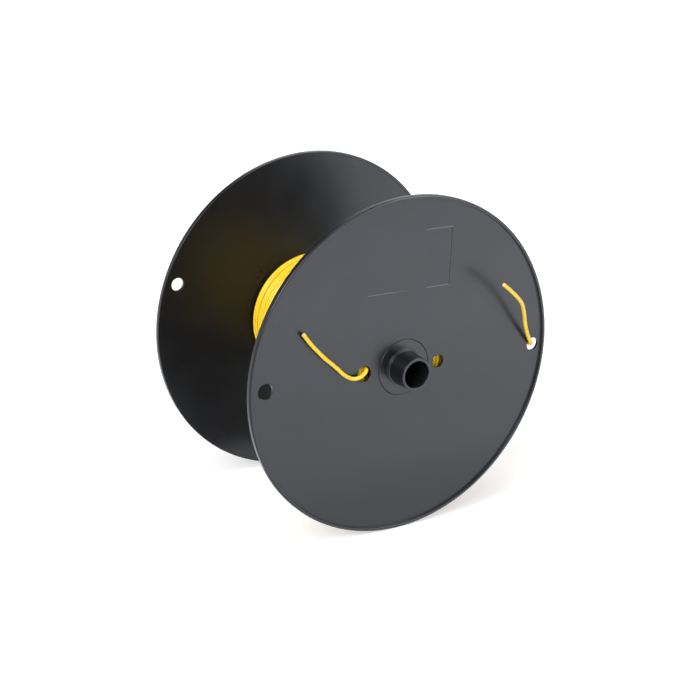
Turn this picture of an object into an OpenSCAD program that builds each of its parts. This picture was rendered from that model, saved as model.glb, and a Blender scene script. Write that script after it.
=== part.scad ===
// Wire spool: two moulded flanges on a core barrel, held by two hubs, with wire wound on the
// barrel. Millimetres, +Z up. The spool's axis is Y, the front flange faces -Y, and the origin
// is the middle of the spool on its axis.

/* [Flanges] */

// Diameter of each flange
flange_d = 200; // [190:1:230]

// Width of the spool over both rims
spool_w = 115; // [100:1:140]

// Thickness of a flange's flat web
web_t = 1.8; // [1.6:0.1:3]

// Width of the rim along the radius
rim_w = 2; // [1.9:0.1:2.6]

// How far the rim stands out of the web's outer face
outer_lip = 1.5; // [1.2:0.1:2.2]

// Width of the rim's low step on the winding side
step_w = 1.8; // [1.4:0.1:2.6]

// How far that step stands out of the web's inner face
inner_lip = 0.2; // [0.2:0.1:1]

// Radius on the rim's outer edge, at its crown
outer_round = 1; // [0.5:0.05:1.1]

// Radius on the inner edge of the rim's crown
crown_round = 0.75; // [0.3:0.05:0.8]

// Radius in the corner between the rim and the web
foot_round = 0.65; // [0.2:0.05:0.8]

// Radius on the rim's outer edge, at the winding side
inner_round = 0.45; // [0.2:0.05:0.7]

// Radius on the edge of the step
step_round = 0.15; // [0.05:0.05:0.2]

// Turn of the rear flange about the axis, clockwise as seen from the front, in degrees
rear_turn = 18; // [-40:1:40]

/* [Wire holes] */

// Diameter of the two larger wire holes in a flange
large_hole_d = 9.4; // [7:0.1:10]

// Diameter of the two smaller wire holes in a flange
small_hole_d = 7.9; // [6:0.1:8.5]

// Distance from the flange's edge to the centre of its larger rim hole
large_rim_inset = 10.4; // [8.5:0.1:12]

// Distance from the flange's edge to the centre of its smaller rim hole
small_rim_inset = 8.2; // [7:0.1:11]

// Distance from the axis to the centre of the larger hole beside the hub
large_start_r = 26.6; // [24:0.1:28]

// Distance from the axis to the centre of the smaller hole beside the hub
small_start_r = 23.4; // [22.5:0.1:27]

// Bevel round the mouth of a wire hole
hole_bevel = 0.3; // [0.1:0.1:0.5]

/* [Label place] */

// Width of the framed place for a label
label_w = 56; // [40:1:62]

// Height of the framed place for a label
label_h = 34; // [24:1:36]

// Distance from the axis to the middle of the label place
label_r = 62.4; // [58:0.2:64]

// Width of the fine line round the label place
label_line_w = 0.5; // [0.3:0.1:0.8]

// Height of the fine line round the label place
label_line_h = 0.2; // [0.1:0.05:0.4]

// Length of the line along the top of the label place, from its right corner
label_top_run = 20; // [10:1:35]

// Length of the line along the bottom of the label place, from its right corner to the gap in it
label_low_run = 17; // [8:1:25]

// Gap in the line along the bottom of the label place
label_low_gap = 6; // [2:1:10]

/* [Hubs] */

// Bore for the rod that the spool turns on
bore_d = 16; // [12:0.5:16.5]

// Bevel at both ends of the bore
bore_bevel = 0.5; // [0.2:0.1:1]

// Length of the hub's boss beyond the rim
boss_l = 12; // [8:1:20]

// Diameter of the boss at its tip
boss_tip_d = 19.2; // [18.6:0.1:20]

// Diameter of the boss at its foot
boss_foot_d = 20.4; // [20:0.1:21.4]

// Radius on the edges of the boss's tip
boss_round = 0.5; // [0.2:0.1:0.6]

// Diameter of the low collar round the boss's foot
collar_d = 22; // [21.8:0.1:26]

// Height of the collar
collar_h = 1.2; // [0.8:0.1:3]

// Bevel on the collar's edge
collar_bevel = 0.3; // [0.1:0.1:0.5]

// Diameter of the hub's head, flush in the flange
head_d = 33; // [31:0.5:35]

// Thickness of the hub's head
head_t = 1; // [0.8:0.1:1.3]

// Bevel on both sides of the joint round the head
seam_bevel = 0.3; // [0.1:0.1:0.5]

// Outer diameter of the hub's spigot, which goes into the barrel
spigot_d = 29; // [27:0.5:30]

// Depth of the spigot inside the barrel
spigot_l = 16; // [8:1:25]

// Wall of the spigot
spigot_wall = 2; // [1.2:0.1:2.5]

// Wall of the tube that guides the rod inside the hub
guide_wall = 2; // [1.5:0.1:2.2]

// Ribs between the guide tube and the spigot
rib_count = 6; // [3:1:8]

// Thickness of a rib
rib_t = 1.6; // [1:0.1:2.5]

// How far the ribs end short of the spigot's end
rib_setback = 5; // [2:1:7]

/* [Barrel] */

// Outer diameter of the core barrel
barrel_d = 36; // [34:0.5:38]

// Bevel on the barrel's inner edges
barrel_bevel = 0.6; // [0.2:0.1:1]

/* [Wire] */

// Diameter of the wire over its insulation
wire_d = 2.3; // [2:0.05:2.4]

// Diameter of the wire's copper conductor
conductor_d = 1.4; // [1:0.1:1.6]

// Length of conductor that shows at a cut end
conductor_out = 0.3; // [0.1:0.1:1]

// Diameter over the whole winding
wound_d = 75.5; // [70:0.5:78]

// Turns in the outer layer, opened out so that each can be seen
layer_turns = 24; // [12:1:24]

// Part of a turn in which the wire climbs onto the outer layer, in degrees
climb_turn = 90; // [60:15:120]

/* [Clearances] */

// Between the head, the spigot and the holes that they go into
press_gap = 0.05; // [0.02:0.01:0.1]

// Between the wound wire and what it lies on or beside
wound_gap = 0.3; // [0.2:0.05:0.4]

// Between the wound wire's ends and the barrel's flanges
side_gap = 0.8; // [0.4:0.1:1]

/* [Hidden] */

plastic = [0.20, 0.205, 0.215];
hub_plastic = [0.17, 0.17, 0.18];
barrel_plastic = [0.24, 0.24, 0.25];
insulation = [0.98, 0.74, 0.10];
wound_insulation = [0.86, 0.62, 0.06];
tinned_copper = [0.85, 0.77, 0.60];

// Places along the axis, as distances from the middle of the spool
rim_y = spool_w / 2;
web_out_y = rim_y - outer_lip;
web_in_y = web_out_y - web_t;
head_back_y = web_out_y - head_t;
boss_tip_y = rim_y + boss_l;
spigot_end_y = web_in_y - spigot_l;

// Radii
flange_r = flange_d / 2;
rim_in_r = flange_r - rim_w;
step_r = flange_r - step_w;
head_r = head_d / 2;
spigot_r = spigot_d / 2;
guide_r = bore_d / 2 + guide_wall;
barrel_r = barrel_d / 2;
barrel_in_r = spigot_r + press_gap;
cut = 1;
fine = 96;

// The winding: the outer layer's wire runs on a circle of radius layer_r, one wire lower is the
// layer that it climbs from, and the climb lies in a pocket at the rear end of the inner layers.
wire_r = wire_d / 2;
layer_r = wound_d / 2 - wire_r;
steps = 24;
facet_dip = layer_r * (1 - cos(180 / steps));
core_r = layer_r - wire_r - wound_gap - facet_dip;
wound_half_l = web_in_y - side_gap;
layer_y = wound_half_l - wire_r;
buried_r = core_r - wire_r - wound_gap;
pocket_floor_r = buried_r - wire_r - wound_gap;
pocket_w = wire_d + wound_gap;
run_angle = atan(wire_d / buried_r);

// Rounds a corner of a profile: points on an arc about c, from angle a to angle b
function arc(c, r, a, b, n = 4) = [
    for (i = [0 : n])
        let (t = a + (b - a) * i / n)
            c + r * [cos(t), sin(t)]
];

// ---- Flanges ------------------------------------------------------------------------------

// A wire hole through the web, bevelled at both faces. The web's outer face is at z = 0.
module wire_hole(d) {
    translate([0, 0, -web_t - cut])
        cylinder(d = d, h = web_t + 2 * cut, $fn = fine);
    translate([0, 0, -hole_bevel])
        cylinder(d1 = d, d2 = d + 2 * (hole_bevel + cut), h = hole_bevel + cut, $fn = fine);
    translate([0, 0, -web_t - cut])
        cylinder(d1 = d + 2 * (hole_bevel + cut), d2 = d, h = hole_bevel + cut, $fn = fine);
}

// Half of the flange's section: web and rim. The rim stands steeply out of the web with a small
// fillet at its foot, and its crown is well rounded.
module flange_section() {
    low = -web_t - inner_lip;
    crown = min(crown_round, outer_lip / 2);
    foot = min(foot_round, outer_lip - crown);
    polygon(concat(
        [[spigot_r + press_gap, 0], [spigot_r + press_gap, -web_t], [step_r, -web_t]],
        arc([step_r + step_round, low + step_round], step_round, 180, 270),
        arc([flange_r - inner_round, low + inner_round], inner_round, 270, 360),
        arc([flange_r - outer_round, outer_lip - outer_round], outer_round, 0, 90),
        arc([rim_in_r + crown, outer_lip - crown], crown, 90, 180),
        arc([rim_in_r - foot, foot], foot, 0, -90)
    ));
}

// The seat that the hub's head lies in, with its bevelled edge
module head_seat() {
    r = head_r + press_gap;
    translate([0, 0, -head_t])
        cylinder(r = r, h = head_t + cut, $fn = fine);
    translate([0, 0, -seam_bevel])
        cylinder(r1 = r, r2 = r + seam_bevel + cut, h = seam_bevel + cut, $fn = fine);
}

// One straight run of the fine line round the label place, given by its lowest left corner
module line_run(corner, run) {
    translate([corner.x, corner.y, -cut])
        cube([run.x, run.y, cut + label_line_h]);
}

// The fine raised line that a mould insert leaves round the label place: along its right side, and
// along parts of its top and bottom
module label_line() {
    right = label_w / 2;
    top = label_r + label_h / 2;
    bottom = label_r - label_h / 2;
    line = label_line_w;
    gap_left = right - label_low_run - label_low_gap;
    line_run([right - line, bottom], [line, label_h]);
    line_run([right - label_top_run, top - line], [label_top_run, line]);
    line_run([right - label_low_run, bottom], [label_low_run, line]);
    line_run([-label_w / 2, bottom], [gap_left + label_w / 2, line]);
}

// One flange, as it comes from the mould: outer face up, larger holes towards -X, label place
// towards +Y
module flange() {
    color(plastic)
        difference() {
            union() {
                rotate_extrude($fn = 180)
                    flange_section();
                label_line();
            }
            head_seat();
            translate([large_rim_inset - flange_r, 0, 0])
                wire_hole(large_hole_d);
            translate([flange_r - small_rim_inset, 0, 0])
                wire_hole(small_hole_d);
            translate([-large_start_r, 0, 0])
                wire_hole(large_hole_d);
            translate([small_start_r, 0, 0])
                wire_hole(small_hole_d);
        }
}

// Puts a moulding's outer face on the front of the spool, at distance y from the middle
module on_front(y) {
    translate([0, -y, 0])
        rotate([90, 0, 0])
            children();
}

// Turns a front piece round to the rear of the spool
module on_rear() {
    rotate([0, rear_turn, 0])
        rotate([0, 0, 180])
            children();
}

module front_flange() {
    on_front(web_out_y)
        flange();
}

module rear_flange() {
    on_rear()
        front_flange();
}

// ---- Hubs ---------------------------------------------------------------------------------

// Half of the hub's section, with z along the axis from the middle of the spool outwards
module hub_section() {
    r_in = bore_d / 2;
    k = boss_round;
    b = collar_bevel;
    collar_y = web_out_y + collar_h;
    polygon(concat(
        [[r_in, spigot_end_y + bore_bevel], [r_in + bore_bevel, spigot_end_y]],
        [[guide_r, spigot_end_y], [guide_r, head_back_y]],
        [[spigot_r - spigot_wall, head_back_y], [spigot_r - spigot_wall, spigot_end_y]],
        [[spigot_r - barrel_bevel, spigot_end_y], [spigot_r, spigot_end_y + barrel_bevel]],
        [[spigot_r, head_back_y], [head_r, head_back_y]],
        [[head_r, web_out_y - seam_bevel], [head_r - seam_bevel, web_out_y]],
        [[collar_d / 2, web_out_y], [collar_d / 2, collar_y - b], [collar_d / 2 - b, collar_y]],
        [[boss_foot_d / 2, collar_y]],
        arc([boss_tip_d / 2 - k, boss_tip_y - k], k, 0, 90),
        arc([r_in + k, boss_tip_y - k], k, 90, 180)
    ));
}

// One hub: boss, collar and head outside, guide tube, ribs and spigot inside
module hub() {
    overlap = 0.2;
    rib_in = guide_r - overlap;
    rib_l = spigot_r - spigot_wall + overlap - rib_in;
    rib_y = spigot_end_y + rib_setback;
    color(hub_plastic)
        union() {
            rotate_extrude($fn = fine)
                hub_section();
            for (i = [0 : rib_count - 1])
                rotate([0, 0, i * 360 / rib_count])
                    translate([rib_in, -rib_t / 2, rib_y])
                        cube([rib_l, rib_t, head_back_y + overlap - rib_y]);
        }
}

module front_hub() {
    on_front(0)
        hub();
}

module rear_hub() {
    on_rear()
        front_hub();
}

// ---- Barrel -------------------------------------------------------------------------------

// The core tube between the flanges, which the spigots of both hubs go into
module barrel() {
    b = barrel_bevel;
    color(barrel_plastic)
        on_front(0)
            rotate_extrude($fn = fine)
                polygon([
                    [barrel_in_r + b, -web_in_y], [barrel_r, -web_in_y],
                    [barrel_r, web_in_y], [barrel_in_r + b, web_in_y],
                    [barrel_in_r, web_in_y - b], [barrel_in_r, b - web_in_y]
                ]);
}

// ---- Wire ---------------------------------------------------------------------------------

function unit(v) = v / norm(v);

// The direction of a route at point i
function heading(p, i) = unit(p[min(i + 1, len(p) - 1)] - p[max(i - 1, 0)]);

// A vector across the route, carried from point to point without twisting
function square_to(n, t) = unit(n - (n * t) * t);
function across(p, first) = [
    for (i = 0, n = square_to(first, heading(p, 0));
         i < len(p);
         i = i + 1, n = square_to(n, heading(p, min(i, len(p) - 1)))) n
];

// A round wire along a route, as one closed tube
module wire_along(p, sides, first) {
    n = across(p, first);
    m = len(p);
    rings = [
        for (i = [0 : m - 1])
            for (s = [0 : sides - 1])
                let (a = 360 * s / sides)
                    p[i] + wire_r * (cos(a) * n[i] + sin(a) * cross(heading(p, i), n[i]))
    ];
    walls = [
        for (i = [0 : m - 2])
            for (s = [0 : sides - 1])
                let (a = i * sides + s, b = i * sides + (s + 1) % sides)
                    each [[a, a + sides, b], [b, a + sides, b + sides]]
    ];
    near_end = [for (s = [1 : sides - 2]) [0, s, s + 1]];
    far_end = [for (s = [1 : sides - 2]) [(m - 1) * sides, (m - 1) * sides + s + 1, (m - 1) * sides + s]];
    polyhedron(points = rings, faces = concat(walls, near_end, far_end));
}

// A point on the winding, at radius r, angle a and distance y along the axis
function wound(r, a, y) = [r * cos(a), y, r * sin(a)];

// Eases from 0 to 1 without a kink at either end
function ease(t) = t * t * (3 - 2 * t);

// The finish end of the wire: it leaves the winding, runs up the inside of the front flange,
// goes out through the smaller rim hole and stands off the flange
finish_route = [
    [16.9, -52.2, 32.6], [23.7, -52.2, 29.6], [30.6, -52.2, 26.6], [37.5, -52.2, 23.6],
    [44.4, -52.2, 20.6], [51.3, -52.2, 17.6], [58.2, -52.2, 14.6], [65.1, -52.2, 11.6],
    [72.0, -52.2, 8.6], [78.9, -52.2, 5.6], [84.4, -52.2, 3.2], [87.2, -52.2, 2.0],
    [89.0, -52.9, 0.8], [90.1, -54.2, 0.3], [90.3, -55.8, 0.4], [89.5, -57.3, 1.6],
    [87.7, -58.3, 3.8], [85.2, -59.5, 7.4], [81.9, -61.4, 12.5], [79.1, -63.3, 17.5],
    [76.5, -65.4, 22.5], [73.7, -67.6, 27.4], [70.8, -69.5, 31.8], [67.7, -70.5, 35.3],
    [63.6, -71.3, 39.0], [58.2, -72.5, 43.4], [53.2, -73.8, 47.0]
];

// The start end of the wire: it comes off the innermost turn, goes out through the larger hole
// beside the hub and lies along the front flange
start_route = [
    [-24.5, -53.4, 2.4], [-24.5, -54.4, 2.4], [-24.8, -55.4, 2.2], [-25.5, -56.3, 1.8],
    [-26.6, -57.0, 1.1], [-28.0, -57.4, 0.3], [-29.9, -57.8, -0.4], [-32.0, -58.0, -0.8],
    [-34.9, -58.2, -0.6], [-38.1, -58.4, 0.8], [-41.3, -58.5, 2.9], [-45.5, -58.6, 6.8],
    [-49.1, -58.6, 10.1], [-54.2, -58.6, 14.5], [-57.8, -58.6, 18.1], [-63.3, -58.6, 23.9],
    [-68.4, -58.6, 30.4]
];

// The outer layer, wound clockwise seen from the front, from the rear flange to the front one.
// It starts square to the pocket's wall, climbs, winds, and leaves straight towards the smaller
// rim hole, where the finish end takes over.
leave_angle = acos(layer_r / (flange_r - small_rim_inset));
climb_steps = climb_turn / 360 * steps;
turn_steps = layer_turns * steps;
layer_start_angle = leave_angle + layer_turns * 360 + climb_turn;
wall_angle = layer_start_angle + run_angle;
layer_pitch = 2 * layer_y / layer_turns;
run_in = [
    wound(buried_r, wall_angle, layer_y),
    wound(norm([buried_r, wire_d]), layer_start_angle, layer_y)
];
climb = [
    for (i = [1 : climb_steps - 1])
        let (t = i / climb_steps)
            wound(buried_r + (layer_r - buried_r) * ease(t), layer_start_angle - i * 360 / steps, layer_y)
];
turns = [
    for (i = [0 : turn_steps])
        wound(layer_r, leave_angle + (turn_steps - i) * 360 / steps, layer_y - layer_pitch * i / steps)
];
run_out = [turns[turn_steps] + wire_d * [sin(leave_angle), 0, -cos(leave_angle)]];
layer_route = concat(run_in, climb, turns, run_out);

// Least gap between the layer's turns, measured between points at least half a turn apart
layer_gap = min([
    for (i = [0 : len(layer_route) - 1 - steps / 2])
        min([
            for (j = [i + steps / 2 : min(i + 3 * steps / 2, len(layer_route) - 1)])
                norm(layer_route[i] - layer_route[j])
        ])
]) - wire_d;

// All layers under the outer one, as one drum of wire with the pocket of the last climb
module inner_layers() {
    r_in = barrel_r + wound_gap / 2;
    color(wound_insulation)
        difference() {
            on_front(0)
                rotate_extrude($fn = fine)
                    translate([r_in, -wound_half_l])
                        square([core_r - r_in, 2 * wound_half_l]);
            rotate([0, -wall_angle, 0])
                rotate([90, 0, 0])
                    translate([0, 0, -wound_half_l - cut])
                        mirror([0, 1, 0])
                            rotate_extrude(angle = climb_turn + run_angle + 360 / steps, $fn = fine)
                                translate([pocket_floor_r, 0])
                                    square([core_r + cut - pocket_floor_r, pocket_w + cut]);
        }
}

module outer_layer() {
    echo(str("Least gap between the turns of the outer layer, mm: ", layer_gap));
    color(insulation)
        wire_along(layer_route, 6, [0, 1, 0]);
}

module start_tail() {
    color(insulation)
        wire_along(start_route, 8, [1, 0, 1]);
}

module finish_tail() {
    color(insulation)
        wire_along(finish_route, 8, [0, 1, 0]);
}

// The copper that shows at a cut end: a short round face on the end of a route
module conductor(p) {
    tip = p[len(p) - 1];
    d = heading(p, len(p) - 1);
    color(tinned_copper)
        translate(tip)
            rotate([0, acos(d.z), atan2(d.y, d.x)])
                cylinder(d = conductor_d, h = conductor_out, $fn = 24);
}

module start_conductor() {
    conductor(start_route);
}

module finish_conductor() {
    conductor(finish_route);
}

front_flange();
rear_flange();
front_hub();
rear_hub();
barrel();
inner_layers();
outer_layer();
start_tail();
finish_tail();
start_conductor();
finish_conductor();
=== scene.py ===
import math
import random

import bmesh
import bpy
from mathutils import Matrix, Vector


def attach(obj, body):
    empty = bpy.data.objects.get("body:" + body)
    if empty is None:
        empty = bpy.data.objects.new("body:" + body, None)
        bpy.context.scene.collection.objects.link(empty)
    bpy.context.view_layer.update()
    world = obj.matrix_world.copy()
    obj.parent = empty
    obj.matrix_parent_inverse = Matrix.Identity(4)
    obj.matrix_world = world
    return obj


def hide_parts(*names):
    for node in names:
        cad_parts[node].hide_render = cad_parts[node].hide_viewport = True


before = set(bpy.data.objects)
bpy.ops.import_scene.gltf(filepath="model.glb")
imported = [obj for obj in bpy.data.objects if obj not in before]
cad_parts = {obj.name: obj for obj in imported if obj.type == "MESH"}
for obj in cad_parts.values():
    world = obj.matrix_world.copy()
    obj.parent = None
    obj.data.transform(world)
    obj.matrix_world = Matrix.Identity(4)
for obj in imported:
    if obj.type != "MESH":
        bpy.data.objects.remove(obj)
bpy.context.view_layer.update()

# ---- Camera -----------------------------------------------------------------------------------
# It stands a metre away, to the left of the spool's front and above it, so that the front
# flange is seen nearly whole and the winding shows between the two flanges.

MM = 0.001
camera_place = Vector((-512.0, -791.4, 330.9)) * MM
camera_turn = math.radians(-32.88)
camera_tilt = math.radians(90 - 19.78)
camera_roll = math.radians(2.61)
camera_lens = 86.80
camera_sensor = 36

camera_data = bpy.data.cameras.new("camera")
camera_data.lens = camera_lens
camera_data.sensor_width = camera_sensor
camera = bpy.data.objects.new("camera", camera_data)
aim = Matrix.Rotation(camera_turn, 4, "Z")
aim @= Matrix.Rotation(camera_tilt, 4, "X")
aim @= Matrix.Rotation(camera_roll, 4, "Z")
camera.matrix_world = Matrix.Translation(camera_place) @ aim
bpy.context.collection.objects.link(camera)
bpy.context.scene.camera = camera

# ---- Barrel -----------------------------------------------------------------------------------
# The core tube that the wire is wound on, an extruded tube of dark recycled polystyrene cut to
# length. Both hubs' spigots are pressed into it, so only its bore shows, down the hubs.

cloud_size = 38 * MM
rubbed_size = 26 * MM
rubbed_share = 0.16
scuffed_paler = 2.1
sheen_size = 17 * MM
sheen_change = 0.035
wave_size = 46 * MM
wave_depth = 0.25 * MM
grain_depth = 0.006 * MM
plastic_ior = 1.57
plastic_specular = 0.30
# A blue tint on the plastic's gloss, a painted stand-in for bluish light in its reflections.
gloss_blue_light_tint = (0.85, 0.905, 1.0, 1)


def shader(name):
    """A new material, its node tree and its Principled shader"""
    material = bpy.data.materials.new(name)
    material.use_nodes = True
    tree = material.node_tree
    return material, tree, tree.nodes["Principled BSDF"]


def own_place(tree):
    """Where a point of the surface lies on the piece itself"""
    return tree.nodes.new("ShaderNodeTexCoord").outputs["Object"]


def noise(tree, place, size, detail=3.0):
    """Cloudy noise from 0 to 1 with patches about size metres across"""
    cloud = tree.nodes.new("ShaderNodeTexNoise")
    cloud.inputs["Scale"].default_value = 1 / size
    cloud.inputs["Detail"].default_value = detail
    tree.links.new(place, cloud.inputs["Vector"])
    return cloud.outputs["Fac"]


def ramp(tree, value, low, high, below=(0, 0, 0), above=(1, 1, 1)):
    """Turns a value into a colour: below up to low, above from high on, a blend between them"""
    blend = tree.nodes.new("ShaderNodeValToRGB")
    stops = blend.color_ramp.elements
    stops[0].position = low
    stops[1].position = high
    stops[0].color = (*below, 1)
    stops[1].color = (*above, 1)
    tree.links.new(value, blend.inputs["Fac"])
    return blend.outputs["Color"]


def mixed(tree, share, first, second):
    """Mixes two colours by a share; each may be plain numbers"""
    mix = tree.nodes.new("ShaderNodeMix")
    mix.data_type = "RGBA"
    for socket, value in (("Factor", share), ("A", first), ("B", second)):
        target = [s for s in mix.inputs if s.name == socket and s.enabled][0]
        if isinstance(value, tuple):
            target.default_value = (*value, 1)
        else:
            tree.links.new(value, target)
    return [s for s in mix.outputs if s.enabled][0]


def times(tree, first, second):
    """The product of two values; each may be a plain number"""
    product = tree.nodes.new("ShaderNodeMath")
    product.operation = "MULTIPLY"
    for socket, value in zip(product.inputs, (first, second)):
        if isinstance(value, (int, float)):
            socket.default_value = value
        else:
            tree.links.new(value, socket)
    return product.outputs[0]


def bumps(tree, height, depth, under=None):
    """A bump that lifts the surface by up to depth metres, laid over another bump"""
    bump = tree.nodes.new("ShaderNodeBump")
    bump.inputs["Strength"].default_value = 1
    bump.inputs["Distance"].default_value = depth
    tree.links.new(height, bump.inputs["Height"])
    if under is not None:
        tree.links.new(under, bump.inputs["Normal"])
    return bump.outputs["Normal"]


def scratches(tree, place, angle, width, length):
    """Fine straight scratches across the faces that look along Y, as values from 0 to 1"""
    lay = tree.nodes.new("ShaderNodeMapping")
    lay.vector_type = "TEXTURE"
    lay.inputs["Rotation"].default_value = (0, math.radians(angle), 0)
    lay.inputs["Scale"].default_value = (length, 1, width)
    tree.links.new(place, lay.inputs["Vector"])
    hairs = noise(tree, lay.outputs["Vector"], size=1.0, detail=1.0)
    return ramp(tree, hairs, low=0.66, high=0.72)


def moulded_plastic(name, colour, pale, gloss, grain):
    """Dark moulded plastic: cloudy colour, satin grain of the given size, and handling marks"""
    material, tree, surface = shader(name)
    place = own_place(tree)
    clouds = noise(tree, place, cloud_size, detail=4.0)
    clouds = ramp(tree, clouds, low=0.32, high=0.72, below=colour, above=pale)
    marks = scratches(tree, place, angle=24, width=0.16 * MM, length=16 * MM)
    cross_marks = scratches(tree, place, angle=-51, width=0.14 * MM, length=22 * MM)
    rubbed = ramp(tree, noise(tree, place, rubbed_size), low=0.5, high=0.74)
    rubbed = times(tree, rubbed, rubbed_share)
    scuffed = tuple(scuffed_paler * c for c in pale)
    colour_now = mixed(tree, times(tree, marks, rubbed), clouds, scuffed)
    colour_now = mixed(tree, times(tree, cross_marks, rubbed), colour_now, scuffed)
    tree.links.new(colour_now, surface.inputs["Base Color"])
    glossier = (gloss - sheen_change,) * 3
    duller = (gloss + sheen_change,) * 3
    sheen_patches = noise(tree, place, sheen_size)
    spread = ramp(tree, sheen_patches, low=0.25, high=0.75, below=glossier, above=duller)
    tree.links.new(spread, surface.inputs["Roughness"])
    waves = bumps(tree, noise(tree, place, wave_size, detail=1.0), wave_depth)
    satin = bumps(tree, noise(tree, place, grain, detail=2.0), grain_depth, under=waves)
    tree.links.new(satin, surface.inputs["Normal"])
    surface.inputs["IOR"].default_value = plastic_ior
    surface.inputs["Specular IOR Level"].default_value = plastic_specular
    # Painted bluish light: the gloss is tinted blue.
    surface.inputs["Specular Tint"].default_value = gloss_blue_light_tint
    return material


def coat(piece, material):
    """Gives a piece its one material"""
    piece.data.materials.clear()
    piece.data.materials.append(material)


tube_plastic = moulded_plastic(
    "extruded tube plastic",
    colour=(0.016, 0.0165, 0.0175), pale=(0.021, 0.0215, 0.0225), gloss=0.5, grain=0.5 * MM,
)
coat(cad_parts["barrel"], tube_plastic)

# ---- Hubs -------------------------------------------------------------------------------------
# Two like mouldings, one in each flange: a tapered boss with the bore, a low collar, a flush
# round head, and inside a spigot with a guide tube and ribs. They are pressed in and glued.

rim_half = 57.5 * MM
web_out = 56.0 * MM
web_in = 54.2 * MM
rear_turn = math.radians(18)
to_rear = Matrix.Rotation(rear_turn, 4, "Y") @ Matrix.Rotation(math.pi, 4, "Z")

bore_radius = 8 * MM
boss_tip = rim_half + 12 * MM
boss_tip_radius = 9.6 * MM
boss_foot_radius = 10.2 * MM
collar_radius = 11 * MM
collar_top = web_out + 1.2 * MM
head_radius = 16.5 * MM
head_back = web_out - 1.0 * MM
seam_bevel = 0.42 * MM
spigot_radius = 14.5 * MM
spigot_inner = 12.5 * MM
spigot_end = web_in - 16 * MM
guide_radius = 10 * MM
rib_count = 6
rib_thick = 1.6 * MM
rib_start = spigot_end + 5 * MM
rib_overlap = 0.2 * MM
hub_steps = 128


def rounded(corners, steps=5):
    """A closed outline of (radius, distance out) points, each corner rounded to its third number"""
    outline = []
    for i, (radius, out, fillet) in enumerate(corners):
        corner = Vector((radius, out))
        to_last = (Vector(corners[i - 1][:2]) - corner).normalized()
        to_next = (Vector(corners[(i + 1) % len(corners)][:2]) - corner).normalized()
        if fillet == 0:
            outline.append(corner)
            continue
        half_angle = to_last.angle(to_next) / 2
        centre = corner + (to_last + to_next).normalized() * fillet / math.sin(half_angle)
        reach = fillet / math.tan(half_angle)
        first = corner + to_last * reach - centre
        last = corner + to_next * reach - centre
        for step in range(steps + 1):
            share = step / steps
            outline.append(centre + (first * (1 - share) + last * share).normalized() * fillet)
    return outline


def span(solid, rings):
    """Adds the faces between each ring of points and the next one"""
    for here, ahead in zip(rings, rings[1:]):
        for i in range(len(here)):
            k = (i + 1) % len(here)
            solid.faces.new((here[i], here[k], ahead[k], ahead[i]))


def turned(outline, steps):
    """A ring turned about the Y axis; distance out runs towards -Y, the front"""
    solid = bmesh.new()
    rings = []
    for i in range(steps):
        angle = 2 * math.pi * i / steps
        across = math.cos(angle)
        up = math.sin(angle)
        rings.append([solid.verts.new((p.x * across, -p.y, p.x * up)) for p in outline])
    span(solid, rings + rings[:1])
    bmesh.ops.recalc_face_normals(solid, faces=solid.faces)
    return solid


def block(solid, low, high):
    """Adds a plain rib-like block to a solid"""
    corners = []
    for x in (low.x, high.x):
        for y in (low.y, high.y):
            corners += [solid.verts.new((x, y, low.z)), solid.verts.new((x, y, high.z))]
    for face in (
        (0, 1, 3, 2), (4, 6, 7, 5), (0, 4, 5, 1), (2, 3, 7, 6), (0, 2, 6, 4), (1, 5, 7, 3),
    ):
        solid.faces.new([corners[i] for i in face])


def piece_from(solid, name):
    """Makes a piece of a bmesh solid"""
    mesh = bpy.data.meshes.new(name)
    solid.to_mesh(mesh)
    solid.free()
    piece = bpy.data.objects.new(name, mesh)
    bpy.context.collection.objects.link(piece)
    return piece


def combine(piece, other, operation):
    """Joins another solid to a piece, or cuts it away, and removes the other"""
    cut = piece.modifiers.new("cut", "BOOLEAN")
    cut.operation = operation
    cut.object = other
    cut.solver = "EXACT"
    bpy.context.view_layer.update()
    result = piece.evaluated_get(bpy.context.evaluated_depsgraph_get())
    mesh = bpy.data.meshes.new_from_object(result)
    piece.modifiers.clear()
    old_mesh = piece.data
    mesh.name = old_mesh.name
    piece.data = mesh
    bpy.data.meshes.remove(old_mesh)
    bpy.data.objects.remove(other)


def smooth(piece, sharpest=38):
    """Shades curved faces round and keeps flat ones flat; sharpest is in degrees"""
    piece.data.shade_smooth()
    piece.data.set_sharp_from_angle(angle=math.radians(sharpest))
    weighted = piece.modifiers.new("flat faces", "WEIGHTED_NORMAL")
    weighted.keep_sharp = True
    weighted.weight = 100


def finish(piece, material, node):
    """Gives a piece its material and lets it stand for its CAD node"""
    coat(piece, material)
    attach(piece, "root")
    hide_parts(node)


hub_outline = rounded([
    (bore_radius, spigot_end, 0.4 * MM),
    (guide_radius, spigot_end, 0.3 * MM),
    (guide_radius, head_back, 0.4 * MM),
    (spigot_inner, head_back, 0.4 * MM),
    (spigot_inner, spigot_end, 0.4 * MM),
    (spigot_radius, spigot_end, 0.6 * MM),
    (spigot_radius, head_back, 0),
    (head_radius, head_back, 0),
    (head_radius, web_out, seam_bevel),
    (collar_radius, web_out, 0.25 * MM),
    (collar_radius, collar_top, 0.4 * MM),
    (boss_foot_radius, collar_top, 0.25 * MM),
    (boss_tip_radius, boss_tip, 0.4 * MM),
    (bore_radius, boss_tip, 0.3 * MM),
])


def hub(name):
    """One hub with its ribs, at the front"""
    piece = piece_from(turned(hub_outline, hub_steps), name)
    low = Vector((guide_radius - rib_overlap, -(head_back + rib_overlap), -rib_thick / 2))
    high = Vector((spigot_inner + rib_overlap, -rib_start, rib_thick / 2))
    for i in range(rib_count):
        rib = bmesh.new()
        block(rib, low, high)
        turn = Matrix.Rotation(2 * math.pi * i / rib_count, 3, "Y")
        bmesh.ops.rotate(rib, verts=rib.verts, matrix=turn)
        combine(piece, piece_from(rib, "rib"), "UNION")
    return piece


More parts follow.
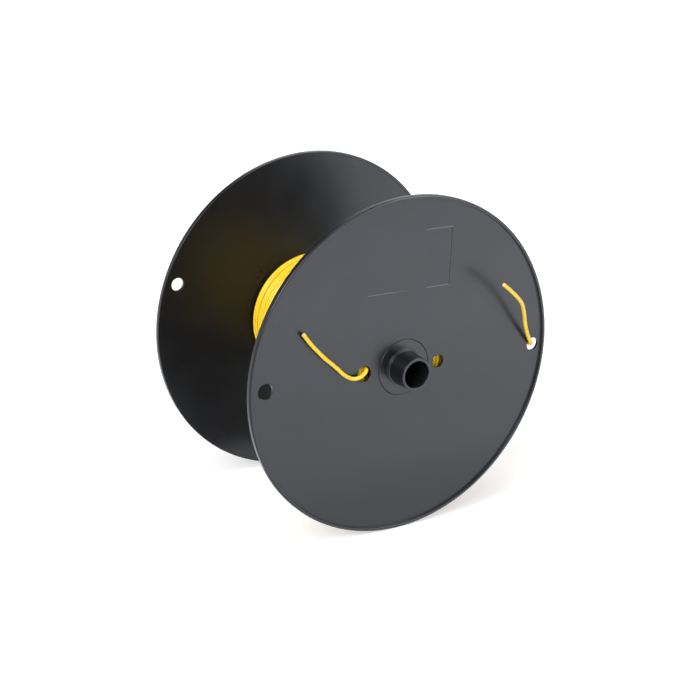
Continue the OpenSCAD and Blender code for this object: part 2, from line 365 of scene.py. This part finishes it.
hub_plastic = moulded_plastic(
    "hub plastic",
    colour=(0.0078, 0.0080, 0.0090), pale=(0.0106, 0.0108, 0.0122), gloss=0.25, grain=0.6 * MM,
)
front_hub = hub("front_hub_moulding")
rear_hub = hub("rear_hub_moulding")
rear_hub.data.transform(to_rear)
for piece, node in ((front_hub, "front_hub"), (rear_hub, "rear_hub")):
    smooth(piece)
    finish(piece, hub_plastic, node)

# ---- Flanges ----------------------------------------------------------------------------------
# Two like discs, injection moulded in dark polystyrene with a fine satin grain. Each has a
# raised rim, four wire holes, the seat for the hub's head and a fine line round a label place.

flange_radius = 100 * MM
rim_inner = flange_radius - 2.0 * MM
step_inner = flange_radius - 1.8 * MM
rim_back = web_in - 0.2 * MM
press_gap = 0.05 * MM
centre_hole = spigot_radius + press_gap
seat_radius = head_radius + press_gap
flange_steps = 256

hole_bevel = 0.12 * MM
hole_steps = 64
cutter_past = 1 * MM
large_hole = 4.7 * MM
small_hole = 3.95 * MM
large_rim_place = -(flange_radius - 10.4 * MM)
small_rim_place = flange_radius - 8.2 * MM
large_start_place = -26.6 * MM
small_start_place = 23.4 * MM
wire_holes = (
    (large_rim_place, large_hole),
    (small_rim_place, small_hole),
    (large_start_place, large_hole),
    (small_start_place, small_hole),
)

label_right = 28.0 * MM
label_bottom = 45.4 * MM
label_top = 79.4 * MM
label_gap = (5.5 * MM, 11.5 * MM)
label_top_end = 8.5 * MM
line_width = 1.05 * MM
line_proud = 0.2 * MM
line_sunk = 0.05 * MM
line_crest_share = 0.15
line_fade = 4 * MM
line_fade_sunk = 0.3 * line_sunk
upper_line = (
    (label_top_end, label_top),
    (label_top_end + line_fade, label_top),
    (label_right, label_top),
    (label_right, label_bottom),
    (label_gap[1] + line_fade / 2, label_bottom),
    (label_gap[1], label_bottom),
)
lower_line = (
    (-label_right, label_bottom),
    (line_fade - label_right, label_bottom),
    (label_gap[0] - line_fade / 2, label_bottom),
    (label_gap[0], label_bottom),
)

flange_outline = rounded([
    (centre_hole, web_in, 0),
    (centre_hole, head_back, 0),
    (seat_radius, head_back, 0),
    (seat_radius, web_out, seam_bevel),
    (rim_inner, web_out, 0.25 * MM),
    (rim_inner, rim_half, 0.45 * MM),
    (flange_radius, rim_half, 1.0 * MM),
    (flange_radius, rim_back, 0.45 * MM),
    (step_inner, rim_back, 0.15 * MM),
    (step_inner, web_in, 0.05 * MM),
])


def closed_tube(solid, rings):
    """Adds the faces between rings of points and closes both ends"""
    span(solid, rings)
    solid.faces.new(rings[0])
    solid.faces.new(rings[-1])


def hole_cutter(solid, place, radius):
    """Adds the shape of one wire hole, with a bevelled mouth at both faces"""
    wide = radius + hole_bevel + cutter_past
    rings = []
    for ring_radius, out in (
        (wide, web_out + cutter_past),
        (radius, web_out - hole_bevel),
        (radius, web_in + hole_bevel),
        (wide, web_in - cutter_past),
    ):
        ring = []
        for i in range(hole_steps):
            angle = 2 * math.pi * i / hole_steps
            across = place + ring_radius * math.cos(angle)
            ring.append(solid.verts.new((across, -out, ring_radius * math.sin(angle))))
        rings.append(ring)
    closed_tube(solid, rings)


def fine_line(solid, corners):
    """Adds a fine raised line along corners, which sinks into the face at both ends"""
    foot = web_out - line_sunk
    rings = []
    for i, (x, z) in enumerate(corners):
        here = Vector((x, z))
        behind = (here - Vector(corners[max(i - 1, 0)])).normalized()
        ahead = (Vector(corners[min(i + 1, len(corners) - 1)]) - here).normalized()
        along = (behind + ahead).normalized()
        slant = 1 / max(abs(along.x), abs(along.y))
        side = Vector((-along.y, along.x)) * line_width / 2 * slant
        at_end = i in (0, len(corners) - 1)
        crest = web_out - line_fade_sunk if at_end else web_out + line_proud
        rings.append([
            solid.verts.new((x + side.x * share, -out, z + side.y * share))
            for share, out in (
                (-1, foot), (-line_crest_share, crest), (line_crest_share, crest), (1, foot),
            )
        ])
    closed_tube(solid, rings)


def flange(name):
    """One flange, at the front"""
    piece = piece_from(turned(flange_outline, flange_steps), name)
    holes = bmesh.new()
    for place, radius in wire_holes:
        hole_cutter(holes, place, radius)
    bmesh.ops.recalc_face_normals(holes, faces=holes.faces)
    combine(piece, piece_from(holes, "holes"), "DIFFERENCE")
    lines = bmesh.new()
    for corners in (upper_line, lower_line):
        fine_line(lines, corners)
    bmesh.ops.recalc_face_normals(lines, faces=lines.faces)
    combine(piece, piece_from(lines, "lines"), "UNION")
    return piece


flange_plastic = moulded_plastic(
    "flange plastic",
    colour=(0.0068, 0.0071, 0.0080), pale=(0.0094, 0.0097, 0.0108), gloss=0.30, grain=0.45 * MM,
)
front_flange = flange("front_flange_moulding")
rear_flange = flange("rear_flange_moulding")
rear_flange.data.transform(to_rear)
for piece, node in ((front_flange, "front_flange"), (rear_flange, "rear_flange")):
    smooth(piece, sharpest=24)
    finish(piece, flange_plastic, node)

# ---- Inner layers of wire ---------------------------------------------------------------------
# One long wire with yellow PVC insulation, machine wound back and forth on the barrel in eight
# layers. The layers under the last one end a little unevenly, as the holes beside the hubs show.

wire_radius = 1.15 * MM
outer_layer_radius = 36.6 * MM
layer_rise = 2.46 * MM
layer_count = 8
front_turn_place = -52.25 * MM
rear_turn_place = 52.9 * MM
leave_angle = math.acos(outer_layer_radius / small_rim_place)
inner_wire_steps = 56
inner_wire_sides = 10

barrel_radius = 18 * MM
core_inner = barrel_radius + 0.15 * MM
core_half = 44 * MM
core_steps = 128

under_layer_radius = outer_layer_radius - layer_rise
under_turns = 44.75
under_pitch = (rear_turn_place - front_turn_place) / under_turns
under_start = leave_angle + 2 * math.pi * (under_turns % 1) + math.pi / 2

end_gaps = tuple(gap * MM for gap in (6.6, 5.6, 1.5, 1.2, 5.4, 3.4))
end_pitch = 2.36 * MM
end_turns = 4.2
end_start_degrees = 200
end_shift_degrees = 67


def coil_points(radius_at, place_at, start_angle, turns, steps):
    """Points of a coil, clockwise seen from the front, as (radius, angle, place along Y)"""
    points = []
    for i in range(round(turns * steps) + 1):
        turn = i / steps
        angle = start_angle - 2 * math.pi * i / steps
        points.append((radius_at(turn), angle, place_at(turn)))
    return points


def add_wire(solid, points, sides):
    """Adds a wire along coil points to a solid, closed by flat cut ends"""
    rings = []
    for radius, angle, place in points:
        out = Vector((math.cos(angle), 0, math.sin(angle)))
        middle = out * radius + Vector((0, place, 0))
        ring = []
        for i in range(sides):
            around = 2 * math.pi * i / sides
            aside = math.cos(around) * out + Vector((0, math.sin(around), 0))
            ring.append(solid.verts.new(middle + wire_radius * aside))
        rings.append(ring)
    closed_tube(solid, rings)


def insulation(name, colour, deep, gloss):
    """Smooth extruded PVC insulation, a little deeper in colour in patches"""
    material, tree, surface = shader(name)
    place = own_place(tree)
    clouds = noise(tree, place, size=9 * MM)
    clouds = ramp(tree, clouds, low=0.3, high=0.7, below=deep, above=colour)
    tree.links.new(clouds, surface.inputs["Base Color"])
    skin = bumps(tree, noise(tree, place, size=0.8 * MM, detail=2.0), depth=0.012 * MM)
    tree.links.new(skin, surface.inputs["Normal"])
    surface.inputs["Roughness"].default_value = gloss
    surface.inputs["IOR"].default_value = 1.45
    surface.inputs["Subsurface Weight"].default_value = 0.12
    surface.inputs["Subsurface Radius"].default_value = (1.0, 0.6, 0.2)
    surface.inputs["Subsurface Scale"].default_value = 0.5 * MM
    return material


yellow_pvc = insulation(
    "yellow insulation", colour=(0.985, 0.665, 0.015), deep=(0.98, 0.595, 0.011), gloss=0.30,
)

inner = turned([
    Vector((core_inner, -core_half)),
    Vector((core_inner, core_half)),
    Vector((under_layer_radius - wire_radius, core_half)),
    Vector((under_layer_radius - wire_radius, -core_half)),
], core_steps)
add_wire(inner, coil_points(
    lambda turn: under_layer_radius,
    lambda turn: front_turn_place + under_pitch * turn,
    under_start, under_turns, inner_wire_steps,
), inner_wire_sides)
for layer, gap in enumerate(end_gaps):
    layer_radius = outer_layer_radius - layer_rise * (layer_count - 1 - layer)
    layer_start = math.radians(end_start_degrees + end_shift_degrees * layer)
    for end, inward in ((front_turn_place + gap, 1), (rear_turn_place - gap, -1)):
        add_wire(inner, coil_points(
            lambda turn: layer_radius,
            lambda turn: end + inward * end_pitch * max(0, turn - 1),
            layer_start, end_turns, inner_wire_steps,
        ), inner_wire_sides)
bmesh.ops.recalc_face_normals(inner, faces=inner.faces)
inner_wire = piece_from(inner, "wire_inner_layers")
smooth(inner_wire)
finish(inner_wire, yellow_pvc, "inner_layers")

# ---- Outer layer of wire ----------------------------------------------------------------------
# The last layer of the same wire. It climbs up from the layer below at the rear flange and runs
# forward in 44 turns, tight beside each other but for a few gaps where the winder stepped.

outer_turns = 44
climb_turns = 0.25
tight_pitch = 2.312 * MM
wider_steps = (
    (2.35, 0.9), (4.1, 0.35), (7.6, 0.25), (12.9, 0.2), (19.4, 0.3), (27.2, 0.25), (35.3, 0.3),
)
step_length = 0.2
step_sum = sum(width for at, width in wider_steps)
spare = rear_turn_place - front_turn_place - tight_pitch * outer_turns
ripple_height = 0.04 * MM
ripple_wave = 5.3
ripple_swell = 1.7
run_out = 2.3 * MM
run_place = -52.2 * MM
outer_wire_steps = 96
outer_wire_sides = 12


def eased(share):
    """Goes from 0 to 1 without a kink at either end"""
    share = min(1, max(0, share))
    return share * share * (3 - 2 * share)


def outer_place(turn):
    """How far along Y the outer layer is, with its spare width shared among the wider steps"""
    stepped = sum(width * eased((turn - at) / step_length) for at, width in wider_steps) / step_sum
    return rear_turn_place - tight_pitch * max(0, turn) - spare * stepped


def outer_radius(turn):
    """How far out the outer layer lies: it climbs, then ripples a little up to its last turn"""
    climbed = eased((turn + climb_turns) / climb_turns)
    ripple = ripple_height * math.sin(ripple_wave * turn) * math.sin(ripple_swell * turn)
    ripple *= min(1, max(0, turn)) if turn < outer_turns - 1 else 0
    return under_layer_radius + layer_rise * climbed + ripple


outer_points = coil_points(
    lambda turn: outer_radius(turn - climb_turns),
    lambda turn: outer_place(turn - climb_turns),
    leave_angle + math.pi / 2, outer_turns + climb_turns, outer_wire_steps,
)
run_radius = math.hypot(outer_layer_radius, run_out)
run_angle = leave_angle - math.atan(run_out / outer_layer_radius)
outer_points.append((run_radius, run_angle, run_place))
outer = bmesh.new()
add_wire(outer, outer_points, outer_wire_sides)
bmesh.ops.recalc_face_normals(outer, faces=outer.faces)
outer_wire = piece_from(outer, "wire_outer_layer")
smooth(outer_wire)
finish(outer_wire, yellow_pvc, "outer_layer")

# ---- Start end of the wire --------------------------------------------------------------------
# The first end of the wire, led out through the larger hole beside the front hub, so that it can
# be reached. It lies bent along the flange, and its cut end shows the tinned copper strands.

strand_radius = 0.135 * MM
strand_tip_share = 0.9
strand_pitch = 2.1 * strand_radius
strand_rings = ((0, 1), (1, 6), (2, 12))
strand_showing = 0.22 * MM
shortest_cut = 0.75
longest_cut = 1.25
start_route = [
    (-24.5, -53.4, 2.4), (-24.5, -54.4, 2.4), (-24.8, -55.4, 2.2), (-25.5, -56.3, 1.8),
    (-26.6, -57.0, 1.1), (-28.0, -57.4, 0.3), (-29.9, -57.8, -0.4), (-32.0, -58.0, -0.8),
    (-34.9, -58.2, -0.6), (-38.1, -58.4, 0.8), (-41.3, -58.5, 2.9), (-45.5, -58.6, 6.8),
    (-49.1, -58.6, 10.1), (-54.2, -58.6, 14.5), (-57.8, -58.6, 18.1), (-63.3, -58.6, 23.9),
    (-68.4, -58.6, 30.4),
]


def wire_end(name, route):
    """A free end of the wire as a smooth curve through its route"""
    line = bpy.data.curves.new(name, "CURVE")
    line.dimensions = "3D"
    line.bevel_depth = wire_radius
    line.bevel_resolution = 5
    line.resolution_u = 8
    line.use_fill_caps = True
    spline = line.splines.new("BEZIER")
    spline.bezier_points.add(len(route) - 1)
    for knot, place in zip(spline.bezier_points, route):
        knot.co = Vector(place) * MM
        knot.handle_left_type = "AUTO"
        knot.handle_right_type = "AUTO"
    piece = bpy.data.objects.new(name, line)
    bpy.context.collection.objects.link(piece)
    return piece


def strands(name, route):
    """The cut copper strands at the end of a route: one in the middle, six and twelve round it"""
    tip = Vector(route[-1]) * MM
    along = (Vector(route[-1]) - Vector(route[-2])).normalized()
    across = along.orthogonal().normalized()
    beside = along.cross(across)
    uneven = random.Random(name)
    bundle = bmesh.new()
    for ring, count in strand_rings:
        for i in range(count):
            angle = 2 * math.pi * (i + 0.5 * (ring % 2)) / count
            shift = strand_pitch * ring
            middle = tip + shift * (math.cos(angle) * across + math.sin(angle) * beside)
            length = strand_showing * uneven.uniform(shortest_cut, longest_cut)
            lay = Matrix.Translation(middle) @ along.to_track_quat("Z", "Y").to_matrix().to_4x4()
            lay @= Matrix.Translation((0, 0, length / 2 - strand_showing))
            bmesh.ops.create_cone(
                bundle, cap_ends=True, segments=12, radius1=strand_radius,
                radius2=strand_tip_share * strand_radius,
                depth=length + 2 * strand_showing, matrix=lay,
            )
    return piece_from(bundle, name)


def tinned_copper(name, warm, bright):
    """Bright tinned strands, warm where the knife has bared the copper"""
    material, tree, surface = shader(name)
    patches = noise(tree, own_place(tree), size=0.4 * MM)
    colour = ramp(tree, patches, low=0.35, high=0.65, below=warm, above=bright)
    tree.links.new(colour, surface.inputs["Base Color"])
    surface.inputs["Metallic"].default_value = 0.35
    surface.inputs["Roughness"].default_value = 0.4
    return material


strand_metal = tinned_copper(
    "tinned copper strands", warm=(0.90, 0.80, 0.62), bright=(0.95, 0.90, 0.78),
)
start_end = wire_end("wire_start_end", start_route)
start_strands = strands("start_strands", start_route)
finish(start_end, yellow_pvc, "start_tail")
finish(start_strands, strand_metal, "start_conductor")

# ---- Finish end of the wire -------------------------------------------------------------------
# The last end of the wire. It leaves the outer layer, runs up the inside of the front flange and
# is pulled out through the smaller rim hole, bent over so that the winding can't come loose.

finish_route = [
    (16.9, -52.2, 32.6), (23.7, -52.2, 29.6), (30.6, -52.2, 26.6), (37.5, -52.2, 23.6),
    (44.4, -52.2, 20.6), (51.3, -52.2, 17.6), (58.2, -52.2, 14.6), (65.1, -52.2, 11.6),
    (72.0, -52.2, 8.6), (78.9, -52.2, 5.6), (84.4, -52.2, 3.2), (87.2, -52.2, 2.0),
    (89.0, -52.9, 0.8), (90.1, -54.2, 0.3), (90.3, -55.8, 0.4), (89.5, -57.3, 1.6),
    (87.7, -58.3, 3.8), (85.2, -59.5, 7.4), (81.9, -61.4, 12.5), (79.1, -63.3, 17.5),
    (76.5, -65.4, 22.5), (73.7, -67.6, 27.4), (70.8, -69.5, 31.8), (67.7, -70.5, 35.3),
    (63.6, -71.3, 39.0), (58.2, -72.5, 43.4), (53.2, -73.8, 47.0),
]
finish_end = wire_end("wire_finish_end", finish_route)
finish_strands = strands("finish_strands", finish_route)
finish(finish_end, yellow_pvc, "finish_tail")
finish(finish_strands, strand_metal, "finish_conductor")

# ---- Floor ------------------------------------------------------------------------------------
# A plain pale sweep of matt board that the spool stands on with both rims. A black card under
# the winding is a painted shadow that the flanges' inner faces mirror in place of the lit board.

floor_half = 6.0
floor_level = -flange_radius
matt_roughness = 0.9
board_white = (0.80, 0.80, 0.80, 1)
board_gloss = 0.1
board_glow = 0.45
# Painted shadow: the card's dark colour stands for the spool's shade on the board under it.
shadow_card_black = (0.08, 0.07, 0.06, 1)
shadow_card_half = (92 * MM, 33 * MM)
shadow_card_place = (0, -17 * MM, floor_level + 0.5 * MM)


def seen_glow(tree, glow):
    """A strength that only the camera and reflections see, so that it throws no light"""
    rays = tree.nodes.new("ShaderNodeLightPath")
    seen = rays.outputs["Is Camera Ray"]
    for other in ("Is Glossy Ray", "Is Transmission Ray"):
        either = tree.nodes.new("ShaderNodeMath")
        either.operation = "MAXIMUM"
        tree.links.new(seen, either.inputs[0])
        tree.links.new(rays.outputs[other], either.inputs[1])
        seen = either.outputs[0]
    return times(tree, seen, glow)


def sheet_piece(name, half):
    """A flat square sheet, half being half its side"""
    sheet = bmesh.new()
    bmesh.ops.create_grid(sheet, x_segments=1, y_segments=1, size=half)
    return piece_from(sheet, name)


board = sheet_piece("floor", floor_half)
board.location.z = floor_level
board_finish, tree, surface = shader("matt white board")
surface.inputs["Base Color"].default_value = board_white
surface.inputs["Roughness"].default_value = matt_roughness
surface.inputs["Specular IOR Level"].default_value = board_gloss
surface.inputs["Emission Color"].default_value = (1, 1, 1, 1)
tree.links.new(seen_glow(tree, board_glow), surface.inputs["Emission Strength"])
board_finish.cycles.emission_sampling = "NONE"
coat(board, board_finish)

# The painted shadow card, which only reflections see.
shadow_card = sheet_piece("floor_shadow_card", 1)
shadow_card.scale = (*shadow_card_half, 1)
shadow_card.location = shadow_card_place
shadow_card_finish, tree, surface = shader("matt black card")
surface.inputs["Base Color"].default_value = shadow_card_black
surface.inputs["Roughness"].default_value = matt_roughness
coat(shadow_card, shadow_card_finish)
shadow_card.visible_camera = False
shadow_card.visible_diffuse = False
shadow_card.visible_shadow = False

# ---- Light ------------------------------------------------------------------------------------
# A broad key light from the upper left in front and a soft one from above, in a plain room that
# is white low down, grey higher up and darker at the back. Lit panels show only in the gloss.

spool_middle = (0, 0, 0)
room_low = (1.0, 1.0, 1.0)
room_front = (0.5, 0.5, 0.5)
room_back = (0.12, 0.12, 0.12)


def sun(name, energy, spread, towards):
    """A distant lamp whose light runs towards a direction, spread over some degrees"""
    lamp_data = bpy.data.lights.new(name, "SUN")
    lamp_data.energy = energy
    lamp_data.angle = math.radians(spread)
    lamp = bpy.data.objects.new(name, lamp_data)
    lamp.rotation_euler = Vector(towards).to_track_quat("-Z", "Y").to_euler()
    bpy.context.collection.objects.link(lamp)


def mirror_panel(name, place, facing, width, height, power):
    """A lit panel that shows only where the spool mirrors it; facing is a point in front of it"""
    panel_data = bpy.data.lights.new(name, "AREA")
    panel_data.shape = "RECTANGLE"
    panel_data.size = width
    panel_data.size_y = height
    panel_data.energy = power
    panel = bpy.data.objects.new(name, panel_data)
    panel.location = place
    panel.rotation_euler = (Vector(facing) - Vector(place)).to_track_quat("-Z", "Y").to_euler()
    bpy.context.collection.objects.link(panel)
    panel.visible_camera = False
    panel.visible_diffuse = False


sun("key light", energy=2.0, spread=40, towards=(0.72, 0.42, -0.60))
sun("top light", energy=0.85, spread=20, towards=(0.1, 0.15, -1))
mirror_panel(
    "wide floor panel", place=(2.85, 0, floor_level + 0.25 * MM), facing=(2.85, 0, 1),
    width=6.0, height=6.0, power=87,
)
mirror_panel(
    "near floor panel", place=(0.35, -0.57, floor_level + 2 * MM), facing=(0.35, -0.57, 1),
    width=0.90, height=0.90, power=1.8,
)
mirror_panel(
    "far floor panel", place=(0.35, -0.64, floor_level + 4 * MM), facing=(0.35, -0.64, 1),
    width=0.90, height=0.72, power=1.55,
)
mirror_panel(
    "upper right panel", place=(0.60, -0.38, 1.0), facing=spool_middle,
    width=0.7, height=0.5, power=8.2,
)
mirror_panel(
    "front right panel", place=(1.10, -1.45, 0.93), facing=spool_middle,
    width=1.6, height=1.0, power=40,
)
mirror_panel(
    "rear right panel", place=(0.75, 1.6, 0.95), facing=spool_middle,
    width=1.0, height=0.9, power=4.0,
)
mirror_panel(
    "left panel", place=(-0.80, -0.75, 0.50), facing=spool_middle,
    width=0.5, height=0.5, power=6.0,
)

room = bpy.data.worlds.new("pale room")
room.use_nodes = True
bpy.context.scene.world = room
tree = room.node_tree
way = tree.nodes.new("ShaderNodeSeparateXYZ")
tree.links.new(tree.nodes.new("ShaderNodeTexCoord").outputs["Generated"], way.inputs["Vector"])
room_above = ramp(tree, way.outputs["Y"], low=0.0, high=0.5, below=room_front, above=room_back)
raised = ramp(tree, way.outputs["Z"], low=0.12, high=0.4)
room_colour = mixed(tree, raised, room_low, room_above)
tree.links.new(room_colour, tree.nodes["Background"].inputs["Color"])
bpy.context.scene.view_settings.view_transform = "Standard"
